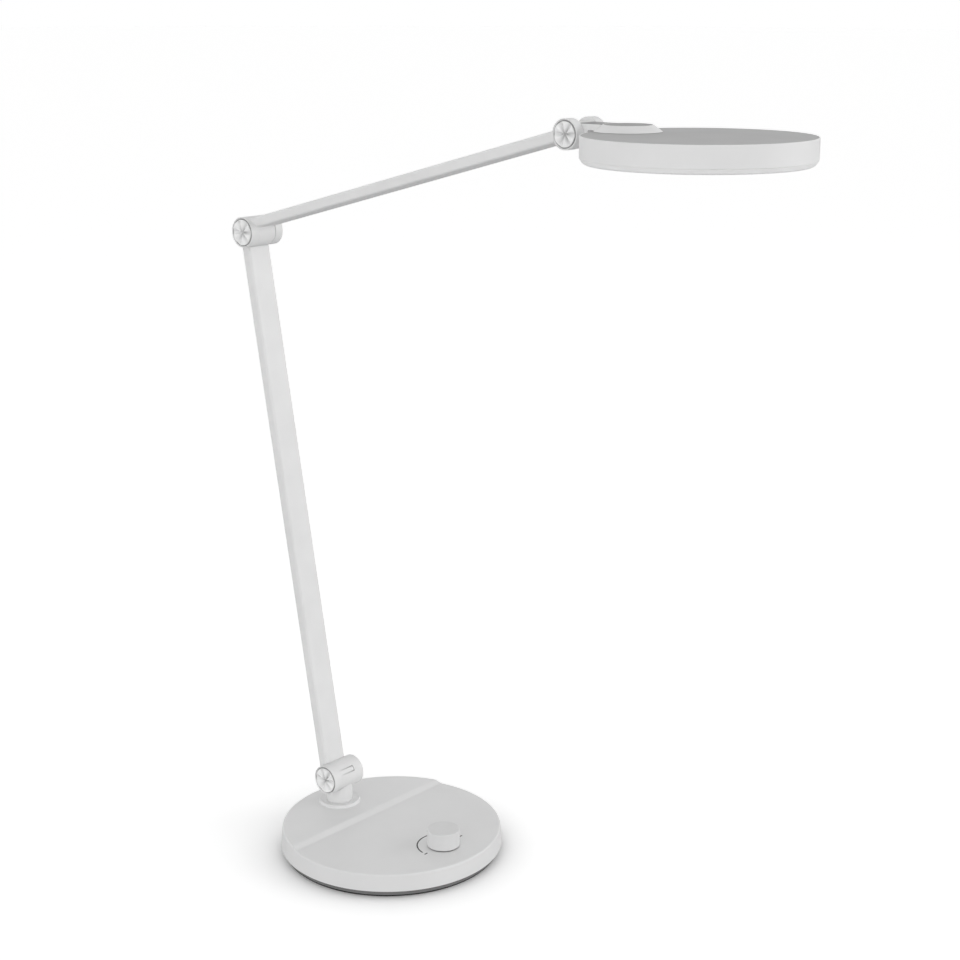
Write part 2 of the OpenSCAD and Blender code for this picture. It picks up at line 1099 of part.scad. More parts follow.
module reflector() {
    color(opal)
        difference() {
            at_disc()
                difference() {
                    translate([0, 0, foil_z])
                        cylinder(r = head_r - 5.5, h = foil_t);
                    chip_places()
                        translate([0, 0, foil_z - 1])
                            cylinder(r = 2.6, h = 3);
                    board_screw_places()
                        translate([0, 0, foil_z - 1])
                            cylinder(r = 3.2, h = 3);
                }
            swivel_room(foil_z - 1, foil_t + 2);
        }
}

module head_screws() {
    color(steel)
        at_disc()
            board_screw_places() {
                translate([0, 0, board_z - head_screw_t])
                    difference() {
                        cylinder(r = 2.8, h = head_screw_t);
                        translate([0, 0, -1])
                            cylinder(r = 1.2, h = 1.8, $fn = 6);
                    }
                translate([0, 0, board_z - 0.01])
                    cylinder(r = screw_r, h = board_t + web_t - 0.4);
            }
}

module diffuser() {
    r = head_r - head_wall - 0.1;
    skirt = 2;
    round_r = diffuser_drop;
    color(opal)
        at_disc()
            rotate_extrude()
                polygon(concat(
                    [[0, diffuser_z]],
                    [for (a = [0:15:90]) [
                        r - 2.5 + 2.5 * sin(a),
                        diffuser_z + round_r - round_r * cos(a)
                    ]],
                    [
                        [r, foil_z],
                        [r - skirt, foil_z],
                        [r - skirt, diffuser_z + round_r],
                        [r - skirt - 2, diffuser_z + diffuser_t],
                        [0, diffuser_z + diffuser_t]
                    ]
                ));
}

// knob and encoder -----------------------------------------------

module at_knob() {
    translate([0, -knob_y, 0])
        children();
}

module encoder_body() {
    color(steel)
        at_knob()
            difference() {
                translate([-enc_w / 2, -enc_w / 2, enc_body_z])
                    cube([enc_w, enc_w, roof_z - enc_body_z]);
                translate([0, 0, enc_body_z + 0.5])
                    cylinder(r = 2.6, h = 3);
                translate([0, 0, rotor_z])
                    cylinder(r = rotor_r + loose, h = rotor_t + 0.2);
                translate([0, 0, rotor_z])
                    cylinder(r = shaft_r + run_fit, h = 9);
            }
}

module encoder_bushing() {
    color(brass)
        at_knob()
            difference() {
                translate([0, 0, roof_z])
                    cylinder(r = bushing_r, h = bushing_top - roof_z);
                translate([0, 0, roof_z - 1])
                    cylinder(r = shaft_r + run_fit, h = bushing_top);
            }
}

module encoder_nut() {
    color(brass)
        at_knob()
            translate([0, 0, deck_h])
                difference() {
                    cylinder(r = 10 / 2 / cos(30), h = 2, $fn = 6);
                    translate([0, 0, -1])
                        cylinder(r = bushing_r + tap_gap, h = 4);
                }
}

module encoder_rotor() {
    color(brass)
        at_knob()
            translate([0, 0, rotor_z])
                difference() {
                    cylinder(r = rotor_r, h = rotor_t);
                    translate([0, 0, -1])
                        cylinder(r = stem_r + run_fit, h = rotor_t + 2);
                }
}

module encoder_shaft() {
    shaft_z = rotor_z + rotor_t + 0.6;
    color(steel)
        at_knob() {
            translate([0, 0, shaft_z])
                cylinder(r = shaft_r, h = knob_top - knob_roof_t - shaft_z);
            translate([0, 0, enc_body_z + 1.1])
                cylinder(r = stem_r, h = shaft_z - enc_body_z - 1);
        }
}

module dimmer_knob() {
    r = knob_d / 2;
    edge = 1;
    hub_z = bushing_top + knob_travel + 0.4;
    color(white)
        at_knob()
            difference() {
                rotate_extrude()
                    polygon(concat(
                        [[0, knob_z], [r, knob_z]],
                        [for (a = [0:15:90]) [
                            r - edge + edge * cos(a),
                            knob_top - edge + edge * sin(a)
                        ]],
                        [[0, knob_top]]
                    ));
                difference() {
                    translate([0, 0, knob_z - 1])
                        cylinder(r = r - knob_wall, h = knob_h - knob_roof_t + 1);
                    translate([0, 0, hub_z])
                        cylinder(r = shaft_r + 2.2, h = knob_h);
                }
                translate([0, 0, knob_z])
                    cylinder(r = shaft_r + 0.02, h = knob_h - knob_roof_t);
            }
}

base_pad();
bottom_plate();
base_cover();
ballast_weight();
ballast_screws();
cover_screws();
control_board();
board_screws();
driver_coil();
driver_chip();
lead_connector();
dc_jack();
swivel_collar();
swivel_bush();
thrust_washer();
encoder_body();
encoder_bushing();
encoder_nut();
encoder_rotor();
encoder_shaft();
dimmer_knob();
post_fork();
post_spindle();
spring_washer();
post_nut();
base_hinge_bolt();
base_hinge_nut();
base_hinge_caps();
lower_knuckle();
base_hinge_washers();
lower_tube();
lower_fork();
lower_arm_screws();
elbow_bolt();
elbow_nut();
elbow_caps();
upper_knuckle();
elbow_washers();
upper_tube();
upper_fork();
upper_arm_screws();
head_hinge_bolt();
head_hinge_nut();
head_hinge_caps();
head_bracket();
head_hinge_washers();
swivel_pin();
swivel_glide();
pin_washer();
pin_nut();
head_housing();
head_top_cover();
led_board();
led_chips();
reflector();
head_screws();
diffuser();
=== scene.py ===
import json
from math import cos, exp, pi, radians, sin, sqrt

import bmesh
import bpy
from mathutils import Matrix, Vector


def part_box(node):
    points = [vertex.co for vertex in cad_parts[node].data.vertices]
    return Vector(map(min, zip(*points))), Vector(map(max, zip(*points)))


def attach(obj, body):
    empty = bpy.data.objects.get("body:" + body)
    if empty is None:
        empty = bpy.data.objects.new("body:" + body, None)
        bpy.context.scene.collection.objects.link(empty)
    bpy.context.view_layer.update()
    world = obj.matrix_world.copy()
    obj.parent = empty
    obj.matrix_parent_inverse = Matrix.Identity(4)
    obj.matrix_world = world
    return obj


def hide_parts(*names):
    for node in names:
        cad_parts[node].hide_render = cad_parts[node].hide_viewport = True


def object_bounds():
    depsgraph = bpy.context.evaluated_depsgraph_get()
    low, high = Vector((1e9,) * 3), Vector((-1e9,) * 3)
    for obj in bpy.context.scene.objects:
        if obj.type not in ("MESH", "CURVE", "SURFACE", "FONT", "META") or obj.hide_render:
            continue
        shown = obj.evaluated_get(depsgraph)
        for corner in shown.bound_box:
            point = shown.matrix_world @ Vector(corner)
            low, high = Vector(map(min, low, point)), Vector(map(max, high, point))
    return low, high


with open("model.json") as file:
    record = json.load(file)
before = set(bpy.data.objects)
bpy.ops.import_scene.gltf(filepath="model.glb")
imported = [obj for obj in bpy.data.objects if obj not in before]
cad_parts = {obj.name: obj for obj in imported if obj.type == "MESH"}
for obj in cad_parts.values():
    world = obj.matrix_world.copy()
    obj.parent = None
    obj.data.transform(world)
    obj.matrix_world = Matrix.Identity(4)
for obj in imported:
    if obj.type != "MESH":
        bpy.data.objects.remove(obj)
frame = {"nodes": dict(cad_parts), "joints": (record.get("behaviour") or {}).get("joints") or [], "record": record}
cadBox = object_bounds()

mm = 0.001  # sizes below are in millimetres, the scene is in metres
tiny = 1e-4  # two places closer than this are one

# hinge and swivel places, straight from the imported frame
jointAt = {j["name"]: Vector(j["pos_m"]) / mm for j in frame["joints"]}
baseHinge = jointAt["base_hinge"]
elbowHinge = jointAt["elbow_hinge"]
headHinge = jointAt["head_tilt"]
headSwivel = jointAt["head_swivel"]
knobPlace = jointAt["knob_turn"]


def lowCorner(node):
    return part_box(node)[0] / mm


def highCorner(node):
    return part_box(node)[1] / mm


coverHigh = highCorner("base_cover")
plateHigh = highCorner("bottom_plate")
padHigh = highCorner("base_pad")
collarLow, collarHigh = lowCorner("swivel_collar"), highCorner("swivel_collar")
socketLow, socketHigh = lowCorner("dc_jack"), highCorner("dc_jack")
knobLow, knobHigh = lowCorner("dimmer_knob"), highCorner("dimmer_knob")
postLow, postHigh = lowCorner("post_fork"), highCorner("post_fork")
bossHigh = highCorner("head_bracket")
pinHigh = highCorner("swivel_pin")
glideHigh = highCorner("swivel_glide")
housingLow, housingHigh = lowCorner("head_housing"), highCorner("head_housing")
skinHigh = highCorner("head_top_cover")
diffuserLow, diffuserHigh = lowCorner("diffuser"), highCorner("diffuser")

deckZ = knobPlace.z
plateauZ = coverHigh.z
barrelHalf = postHigh.x

alongX = Matrix.Rotation(radians(90), 4, "Y")
towardsLeft = Matrix.Rotation(radians(-90), 4, "Y")
alongY = Matrix.Rotation(radians(-90), 4, "X")
postAxis = Matrix.Translation((0, baseHinge.y, 0))
knobAxis = Matrix.Translation((0, knobPlace.y, 0))
swivelAxis = Matrix.Translation((0, headSwivel.y, 0))


# materials

def hexColour(code):
    # an sRGB hex value as the linear colour that a socket takes
    parts = [int(code[i:i + 2], 16) / 255 for i in (1, 3, 5)]
    return [p / 12.92 if p <= 0.04045 else ((p + 0.055) / 1.055) ** 2.4 for p in parts] + [1]


def addNode(tree, kind, inputs=None, links=None, **settings):
    node = tree.nodes.new(kind)
    for key, value in settings.items():
        setattr(node, key, value)
    for key, value in (inputs or {}).items():
        node.inputs[key].default_value = value
    for key, source in (links or {}).items():
        tree.links.new(source, node.inputs[key])
    return node


# colour, the shade its faint variation goes to, roughness and its spread,
# grain and patch sizes in mm, and the depth of the grain in mm. Real moulded grain is
# finer than 0.2 mm and would not show, so it is drawn coarser here.
finishes = {
    # moulded white ABS: smooth, a soft sheen, barely uneven
    "mouldedWhiteAbs": dict(colour="#e2e2e2", shade="#dedede", roughness=0.42, spread=0.06,
                            grain=0.35, depth=0.004, patch=45),
    # polished white ABS, for the caps: a crisper sheen; a lighter white than the other white ABS, painted lighter
    # for the petals' highlights, and grooves darkened by painted shade
    "glossWhitePaintedLightAndShade": dict(colour="#f2f2f2", shade="#efefef", roughness=0.24, spread=0.05,
                          grain=0.35, depth=0.003, patch=20, paintedShadeReach=3.0),
    # fine matte white ABS for the knob, a shade darker than the other white ABS: painted shade for its side
    "matteWhitePaintedShade": dict(colour="#dadada", shade="#d6d6d6", roughness=0.55, spread=0.06,
                          grain=0.45, depth=0.008, patch=12),
    # powder-coated aluminium: satin with a fine orange peel
    "powderCoatWhite": dict(colour="#e2e2e2", shade="#dddddd", roughness=0.48, spread=0.08,
                            grain=0.9, depth=0.006, patch=30),
    # spark-eroded light grey ABS: fine even matte texture on the head's top
    "erodedGreyAbs": dict(colour="#adadad", shade="#a8a8a8", roughness=0.6, spread=0.06,
                          grain=0.5, depth=0.012, patch=35),
    # moulded dark grey ABS: a dull, even band that recedes under the base
    "mouldedDarkAbs": dict(colour="#7c7c7c", shade="#747474", roughness=0.55, spread=0.08,
                           grain=0.5, depth=0.01, patch=20),
    # soft black rubber: dull, pebbled
    "pebbledRubber": dict(colour="#2c2c2c", shade="#232323", roughness=0.85, spread=0.08,
                          grain=0.8, depth=0.04, patch=12),
    # grey rings round the caps, dull: their grey is painted shade for the shadow in the gap
    "paintedGapShadeGrey": dict(colour="#989898", shade="#919191", roughness=0.7, spread=0.08,
                       grain=0.5, depth=0.01, patch=8),
    # opal acrylic: milky, lets a little light sink in
    "opalAcrylic": dict(colour="#f4f4f4", shade="#f1f1f1", roughness=0.38, spread=0.05,
                        grain=0.6, depth=0.003, patch=50, subsurface=0.1),
    # natural acetal: creamy and slippery
    "naturalAcetal": dict(colour="#e6e1d2", shade="#ddd7c6", roughness=0.4, spread=0.06,
                          grain=0.6, depth=0.006, patch=9),
    # white polyester film: flat and even, throws the light back
    "reflectorFilm": dict(colour="#f2f2f2", shade="#ededed", roughness=0.5, spread=0.05,
                          grain=0.5, depth=0.004, patch=25),
    # zinc-plated steel: bright, slightly cloudy
    "zincPlatedSteel": dict(colour="#b4b6ba", shade="#9ea1a6", roughness=0.34, spread=0.12,
                            grain=0.3, depth=0.006, patch=4, metallic=1.0),
    # turned brass: warm, faintly uneven
    "turnedBrass": dict(colour="#c9a35c", shade="#b58e48", roughness=0.3, spread=0.1,
                        grain=0.25, depth=0.008, patch=5, metallic=1.0),
    # solder-masked circuit board: glossy green, paler where copper lies under it
    "solderMask": dict(colour="#1f5a38", shade="#2f7349", roughness=0.3, spread=0.1,
                       grain=1.2, depth=0.02, patch=3),
    # black moulded epoxy, for small components: satin and nearly flat
    "mouldedBlack": dict(colour="#1d1d1e", shade="#262627", roughness=0.5, spread=0.1,
                         grain=0.4, depth=0.012, patch=6),
    # phosphor over the LED chips: yellow and matte
    "ledPhosphor": dict(colour="#e8cf62", shade="#d9bd49", roughness=0.6, spread=0.08,
                        grain=0.2, depth=0.01, patch=1.5),
    # dark grey ABS, for the bracket's inlay: satin, nearly plain
    "darkInlay": dict(colour="#8a8a8a", shade="#848484", roughness=0.5, spread=0.06,
                      grain=0.5, depth=0.006, patch=15),
    # screen-printed ink on the deck: thin, dark and dull
    "greyInk": dict(colour="#2e2e2e", shade="#292929", roughness=0.5, spread=0.05,
                    grain=0.2, depth=0.003, patch=3),
}

# what all finishes share: noise details, where the two colours take over, how strongly
# the grain stands out, how deep light sinks in, and how painted shade darkens grooves
surfaceLook = dict(patchDetail=3.0, grainDetail=2.0, mixFrom=0.3, mixTo=0.7, bump=0.6,
                   sink=2.0, paintedShadeSamples=8, paintedShadePower=0.3)


def makeMaterial(name, colour, shade, roughness, spread, grain, depth, patch,
                 metallic=0.0, subsurface=0.0, paintedShadeReach=0.0):
    look = surfaceLook
    material = bpy.data.materials.new(name)
    material.use_nodes = True
    tree = material.node_tree
    shader = tree.nodes["Principled BSDF"]
    shader.inputs["Metallic"].default_value = metallic
    if subsurface:
        shader.inputs["Subsurface Weight"].default_value = subsurface
        shader.inputs["Subsurface Radius"].default_value = (1, 1, 1)
        shader.inputs["Subsurface Scale"].default_value = look["sink"] * mm
    place = addNode(tree, "ShaderNodeTexCoord").outputs["Object"]
    cloud = addNode(tree, "ShaderNodeTexNoise",
                    {"Scale": 1 / (patch * mm), "Detail": look["patchDetail"]},
                    {"Vector": place}).outputs["Fac"]
    grit = addNode(tree, "ShaderNodeTexNoise",
                   {"Scale": 1 / (grain * mm), "Detail": look["grainDetail"]},
                   {"Vector": place}).outputs["Fac"]
    tint = addNode(tree, "ShaderNodeValToRGB", links={"Fac": cloud})
    for stop, at, code in zip(tint.color_ramp.elements, (look["mixFrom"], look["mixTo"]),
                              (colour, shade)):
        stop.position = at
        stop.color = hexColour(code)
    rough = addNode(tree, "ShaderNodeMapRange", {"To Min": roughness - spread / 2,
                                                 "To Max": roughness + spread / 2},
                    {"Value": grit})
    bump = addNode(tree, "ShaderNodeBump", {"Strength": look["bump"], "Distance": depth * mm},
                   {"Height": grit})
    tone = tint.outputs["Color"]
    # painted shade: ambient occlusion darkens the colour in grooves and corners
    if paintedShadeReach:
        near = addNode(tree, "ShaderNodeAmbientOcclusion", {"Distance": paintedShadeReach * mm},
                       samples=look["paintedShadeSamples"])
        paintedShadeFactor = addNode(tree, "ShaderNodeMath", {1: look["paintedShadePower"]},
                       {0: near.outputs["AO"]}, operation="POWER").outputs[0]
        tone = addNode(tree, "ShaderNodeMix", {"Factor": 1.0}, {"A": tone, "B": paintedShadeFactor},
                       data_type="RGBA", blend_type="MULTIPLY").outputs["Result"]
    for socket, source in (("Base Color", tone),
                           ("Roughness", rough.outputs["Result"]),
                           ("Normal", bump.outputs["Normal"])):
        tree.links.new(source, shader.inputs[socket])
    return material


materials = {name: makeMaterial(name, **values) for name, values in finishes.items()}

# the finish that each of the record's material slots gets
slotFinish = {
    "white_plastic": "mouldedWhiteAbs",
    "white_metal": "powderCoatWhite",
    "grey_plastic": "erodedGreyAbs",
    "dark_plastic": "mouldedDarkAbs",
    "pad_rubber": "pebbledRubber",
    "opal_plastic": "opalAcrylic",
    "natural_plastic": "naturalAcetal",
    "reflector_film": "reflectorFilm",
    "plain_steel": "zincPlatedSteel",
    "encoder_brass": "turnedBrass",
    "circuit_board": "solderMask",
    "dark_parts": "mouldedBlack",
    "led_phosphor": "ledPhosphor",
}
slotOf = {part["node"]: part["material_slot"] for part in frame["record"]["subparts"]}
for node, thing in frame["nodes"].items():
    thing.data.materials.clear()
    thing.data.materials.append(materials[slotFinish[slotOf[node]]])
print("stage: materials")


# shapes that the pieces are made from

def joinShape(bm, part, place):
    bmesh.ops.transform(part, matrix=place, verts=part.verts)
    scratch = bpy.data.meshes.new("scratch")
    part.to_mesh(scratch)
    part.free()
    bm.from_mesh(scratch)
    bpy.data.meshes.remove(scratch)


def raiseFaces(part, faces, vec):
    raised = bmesh.ops.extrude_face_region(part, geom=faces)["geom"]
    bmesh.ops.translate(part, vec=vec,
                        verts=[v for v in raised if isinstance(v, bmesh.types.BMVert)])
    bmesh.ops.recalc_face_normals(part, faces=part.faces)


def cutAcross(part, at, normal, **cleared):
    bmesh.ops.bisect_plane(part, geom=part.verts[:] + part.edges[:] + part.faces[:],
                           dist=tiny, plane_co=at, plane_no=normal, **cleared)


def spinShape(bm, corners, place=Matrix(), *, steps):
    # corners are (radius, height, rounding), turned about the local Z axis
    part = bmesh.new()
    verts = [part.verts.new((radius, 0, height)) for radius, height, rounding in corners]
    for a, b in zip(verts, verts[1:] + verts[:1]):
        if a.co.x + b.co.x > 0:  # no edge along the axis itself
            part.edges.new((a, b))
    for vert, (radius, height, rounding) in zip(verts, corners):
        if rounding:
            bmesh.ops.bevel(part, geom=[vert], offset=rounding, offset_type="OFFSET",
                            affect="VERTICES", segments=5, profile=0.5, material=-1)
    bmesh.ops.spin(part, geom=part.verts[:] + part.edges[:], cent=(0, 0, 0), axis=(0, 0, 1),
                   dvec=(0, 0, 0), angle=2 * pi, steps=steps, use_merge=True)
    bmesh.ops.remove_doubles(part, verts=part.verts, dist=tiny)
    bmesh.ops.recalc_face_normals(part, faces=part.faces)
    joinShape(bm, part, place)


def plugShape(bm, radius, low, high, place, steps=64):
    # a plain round plug, to cut holes with
    spinShape(bm, [(0, low, 0), (radius, low, 0), (radius, high, 0), (0, high, 0)], place,
              steps=steps)


def prismShape(bm, outline, x0, x1, place=Matrix(), soften=0):
    # outline is a list of (y, z), drawn out along X
    part = bmesh.new()
    face = part.faces.new([part.verts.new((x0, y, z)) for y, z in outline])
    raiseFaces(part, [face], (x1 - x0, 0, 0))
    if soften:
        bmesh.ops.bevel(part, geom=part.edges[:], offset=soften, offset_type="OFFSET",
                        affect="EDGES", segments=3, profile=0.5, material=-1)
    joinShape(bm, part, place)


# how finely a bar is sliced where its end follows a curve
barSlices = dict(flare=8, hollow=12)


def barShape(bm, width, thick, off, low, high, place, corner, hollow=None, stripX=None,
             flare=0):
    # a flat bar with rounded edges along the local Z axis. hollow makes one end concave:
    # (end, hinge y, hinge z, radius). stripX keeps only what lies beyond that x. flare
    # spreads the low end sideways in a concave sweep.
    part = bmesh.new()
    half, up = width / 2, thick / 2
    rim = [(-half, off - up), (half, off - up), (half, off + up), (-half, off + up)]
    part.faces.new([part.verts.new((x, y, low)) for x, y in rim])
    bmesh.ops.bevel(part, geom=part.verts[:], offset=corner, offset_type="OFFSET",
                    affect="VERTICES", segments=6, profile=0.5, material=-1)
    raiseFaces(part, part.faces[:], (0, 0, high - low))
    if stripX is not None:
        cutAcross(part, (stripX, 0, 0), (1, 0, 0), clear_inner=stripX > 0,
                  clear_outer=stripX < 0)
        bmesh.ops.holes_fill(part, edges=[e for e in part.edges if e.is_boundary])
    if flare:
        for k in range(1, barSlices["flare"]):
            cutAcross(part, (0, 0, low + (high - low) * k / barSlices["flare"]), (0, 0, 1))
        for vert in part.verts:
            left = (high - vert.co.z) / (high - low)
            vert.co.x *= 1 + 2 * flare / width * left ** 3
    if hollow:
        end, hingeY, hingeZ, radius = hollow
        for k in range(1, barSlices["hollow"]):
            cutAcross(part, (0, off - up + thick * k / barSlices["hollow"], 0), (0, 1, 0))
        level = low if end == "low" else high
        for vert in part.verts:
            if abs(vert.co.z - level) < tiny:
                reach = sqrt(max(radius ** 2 - (vert.co.y - hingeY) ** 2, 0))
                vert.co.z = hingeZ + reach if end == "low" else hingeZ - reach
    bmesh.ops.recalc_face_normals(part, faces=part.faces)
    joinShape(bm, part, place)


def carveShape(bm, cutter):
    # takes cutter's shape out of bm's and returns the new bmesh
    pair = []
    for shape in (bm, cutter):
        mesh = bpy.data.meshes.new("scratch")
        shape.to_mesh(mesh)
        shape.free()
        thing = bpy.data.objects.new("scratch", mesh)
        bpy.context.scene.collection.objects.link(thing)
        pair.append(thing)
    cut = pair[0].modifiers.new("carve", "BOOLEAN")
    cut.operation = "DIFFERENCE"
    cut.solver = "EXACT"
    cut.object = pair[1]
    result = bmesh.new()
    result.from_object(pair[0], bpy.context.evaluated_depsgraph_get())
    for thing in pair:
        mesh = thing.data
        bpy.data.objects.remove(thing)
        bpy.data.meshes.remove(mesh)
    return result


def settlePiece(name, bm, body, slot, replaces=(), finish=None, crease=32):
    bmesh.ops.scale(bm, vec=(mm, mm, mm), verts=bm.verts)
    mesh = bpy.data.meshes.new(name)
    bm.to_mesh(mesh)
    bm.free()
    mesh.polygons.foreach_set("use_smooth", [True] * len(mesh.polygons))
    mesh.set_sharp_from_angle(angle=radians(crease))
    mesh.materials.append(materials[finish or slotFinish[slot]])
    thing = bpy.data.objects.new(name, mesh)
    bpy.context.scene.collection.objects.link(thing)
    evener = thing.modifiers.new("even shading", "WEIGHTED_NORMAL")
    evener.keep_sharp = True
    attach(thing, body)
    if replaces:
        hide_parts(*replaces)


# hinges: a barrel is two cheeks with a knuckle between them. The left seam closes tightly,
# the right one shows as a fine groove where openSeam is set.
barrels = dict(base=12.2, elbow=12.0, head=10.5)  # radii of the three hinges
hingeLook = dict(cheekInner=8.55, knuckleHalf=8.5, rim=0.5, rimEdge=0.6, rimRound=0.1,
                 bore=3.05, capSeat=3.0, edge=0.25, seam=0.03, openSeam=0.6, openGap=0.3,
                 bodyGap=0.12, endBack=0.6)


def addCheeks(bm, radius, place, openRight=False):
    look = hingeLook
    seat, end = barrelHalf - look["capSeat"], barrelHalf - look["endBack"]
    bowl = radius - look["rim"]
    well = bowl - look["rimEdge"]
    for side in (alongX, towardsLeft):
        isOpen = openRight and side is alongX
        inner = look["cheekInner"] + (look["openGap"] if isOpen else 0)
        spinShape(bm, [
            (look["bore"], inner, 0), (radius, inner, look["openSeam" if isOpen else "seam"]),
            (radius, end, look["edge"]), (bowl, end, look["rimRound"]),
            (well, end - look["rimEdge"], look["rimRound"]), (well, seat, 0),
            (look["bore"], seat, 0),
        ], place @ side, steps=120)


def addKnuckle(bm, radius, place, openRight=False):
    look = hingeLook
    half = look["knuckleHalf"]
    spinShape(bm, [
        (look["bore"], -half, 0), (radius, -half, look["seam"]),
        (radius, half, look["openSeam" if openRight else "seam"]), (look["bore"], half, 0),
    ], place @ alongX, steps=120)


# fluted caps: flutes run from the middle towards the rim and run out over its last part,
# and a gap parts the cap from its cheek
capLook = dict(flutes=6, depth=2.8, runOut=0.75, runOutPower=8, width=0.4, widen=0.2,
               dish=0.15, dishPower=4, rings=16, recess=0.05, edge=0.2,
               edgeTurns=(0, 0.4, 0.8, 1.2), gap=0.8, ledge=0.6, ledgeGap=0.05, core=1.0)


def addCaps(bm, radius, place):
    look = capLook
    rim = radius - hingeLook["rim"] - hingeLook["rimEdge"] - look["gap"]
    flat = rim - look["edge"]
    seat = barrelHalf - hingeLook["capSeat"]
    ledge = seat + look["ledge"]
    face = barrelHalf - look["recess"]
    step = 2 * pi / look["flutes"]
    foot = rim + look["gap"] - look["ledgeGap"]
    corners = [(0, seat, 0), (foot, seat, 0), (foot, ledge, 0), (rim, ledge, 0)]
    corners += [(rim - look["edge"] * (1 - cos(a)), face - look["edge"] * (1 - sin(a)), 0)
                for a in look["edgeTurns"]]
    corners += [(flat - flat * k / look["rings"], face, 0) for k in range(look["rings"] + 1)]
    for side in (alongX, towardsLeft):
        part = bmesh.new()
        spinShape(part, corners, steps=180)
        for vert in part.verts:
            away = vert.co.xy.length
            if away < tiny:  # the middle, on the face and at the back
                vert.co.z -= look["depth"] if vert.co.z > seat + look["core"] else 0
            elif vert.co.z >= face - look["edge"]:
                turned = vert.co.xy.angle_signed(Vector((0, 1))) % step
                offLine = away * sin(min(turned, step - turned))
                wide = look["width"] + look["widen"] * away
                shoulder = 1 - look["runOut"] * (away / rim) ** look["runOutPower"]
                vert.co.z -= look["depth"] * shoulder * exp(-(offLine / wide) ** 2)
                vert.co.z -= look["dish"] * (away / rim) ** look["dishPower"]
        joinShape(bm, part, place @ side)


# a grey ring fills the gap round each cap: painted shade for the shadow in the gap
gapShadeRingLook = dict(outerPlay=0.02, innerPlay=0.04, foot=0.65, sunk=1.0, edge=0.2)


def addGapShadeRings(bm, radius, place):
    look = gapShadeRingLook
    outer = radius - hingeLook["rim"] - hingeLook["rimEdge"] - look["outerPlay"]
    inner = outer - capLook["gap"] + look["innerPlay"]
    seat = barrelHalf - hingeLook["capSeat"] + look["foot"]
    top = barrelHalf - look["sunk"]
    for side in (alongX, towardsLeft):
        spinShape(bm, [(inner, seat, 0), (outer, seat, 0), (outer, top, look["edge"]),
                       (inner, top, look["edge"])], place @ side, steps=120)


def makeCaps(label, at, radius, body, node):
    caps = bmesh.new()
    addCaps(caps, radius, Matrix.Translation(at))
    settlePiece(label, caps, body, "white_plastic", [node], finish="glossWhitePaintedLightAndShade", crease=50)
    gapShadeRings = bmesh.new()
    addGapShadeRings(gapShadeRings, radius, Matrix.Translation(at))
    settlePiece(label + "GapShadeRings", gapShadeRings, body, "pad_rubber", finish="paintedGapShadeGrey")


makeCaps("baseHingeCaps", baseHinge, barrels["base"], "post", "base_hinge_caps")
makeCaps("elbowCaps", elbowHinge, barrels["elbow"], "lower_arm", "elbow_caps")
makeCaps("headHingeCaps", headHinge, barrels["head"], "upper_arm", "head_hinge_caps")
print("stage: hinge caps")


# the base
coverLook = dict(foot=5.7, taper=1.3, edge=1.5, footEdge=0.4, seamEdge=0.2, plateGap=0.3,
                 roofGap=2.5, roofEdge=0.5, wall=3.7, skin=1.5, rampFront=21.9, rampBack=29.5,
                 rampCuts=12, socketHole=4.1, socketDeep=8.0, socketDrill=12.0, postHole=12.0,
                 knobSeat=0.35, knobSink=1.2, knobHole=5.0, seatEdge=0.2, drillOver=5.0)


def makeCover():
    look = coverLook
    outer = coverHigh.x
    inner = outer - look["wall"]
    foot = plateHigh.x + look["plateGap"]
    rim = plateHigh.z + look["plateGap"]
    roof = deckZ - look["roofGap"]
    bm = bmesh.new()
    spinShape(bm, [
        (foot, look["foot"], look["seamEdge"]), (outer, look["foot"], look["footEdge"]),
        (outer - look["taper"], plateauZ, look["edge"]), (0, plateauZ, 0), (0, roof, 0),
        (inner, roof, look["roofEdge"]), (inner, rim, 0), (foot, rim, 0),
    ], steps=240)
    # the front deck: everything on top ahead of the ramp drops by the step's height
    ramp = look["rampBack"] - look["rampFront"]
    for k in range(look["rampCuts"] + 1):
        cutAcross(bm, (0, look["rampFront"] + ramp * k / look["rampCuts"], 0), (0, 1, 0))
    for vert in bm.verts:
        if vert.co.z > roof + look["skin"]:
            along = min(max((look["rampBack"] - vert.co.y) / ramp, 0), 1)
            along = along ** 2 * (3 - 2 * along)  # eases in and out
            vert.co.z -= (plateauZ - deckZ) * along
    hole = bmesh.new()
    socketZ = (socketLow.z + socketHigh.z) / 2
    plugShape(hole, look["socketHole"], 0, look["socketDrill"],
              Matrix.Translation((0, outer - look["socketDeep"], socketZ)) @ alongY)
    plugShape(hole, look["postHole"], 0, plateauZ + look["drillOver"], postAxis)
    # the knob stands over a shallow seat with the encoder's hole in it
    seat, floor = knobHigh.x - look["knobSeat"], deckZ - look["knobSink"]
    over = deckZ + look["drillOver"]
    spinShape(hole, [(0, 0, 0), (look["knobHole"], 0, 0), (look["knobHole"], floor, 0),
                     (seat, floor, look["seatEdge"]), (seat, over, 0), (0, over, 0)],
              knobAxis, steps=96)
    settlePiece("coverShell", carveShape(bm, hole), "base", "white_plastic", ["base_cover"])


plateLook = dict(wall=2.5, floor=2.0, footEdge=0.4, edge=0.3)


def makePlate():
    look = plateLook
    bm = bmesh.new()
    outer, low, high = plateHigh.x, padHigh.z, plateHigh.z
    inner, floor = outer - look["wall"], low + look["floor"]
    spinShape(bm, [(0, low, 0), (outer, low, look["footEdge"]), (outer, high, look["edge"]),
                   (inner, high, look["edge"]), (inner, floor, look["edge"]), (0, floor, 0)],
              steps=240)
    settlePiece("bottomTray", bm, "base", "dark_plastic", ["bottom_plate"])


# the post's foot stands in a shallow cup
collarLook = dict(lip=2.7, lean=0.8, floor=2.0, slope=3.0, lipEdge=0.5, slopeEdge=0.9,
                  gap=0.03, bore=9.1)


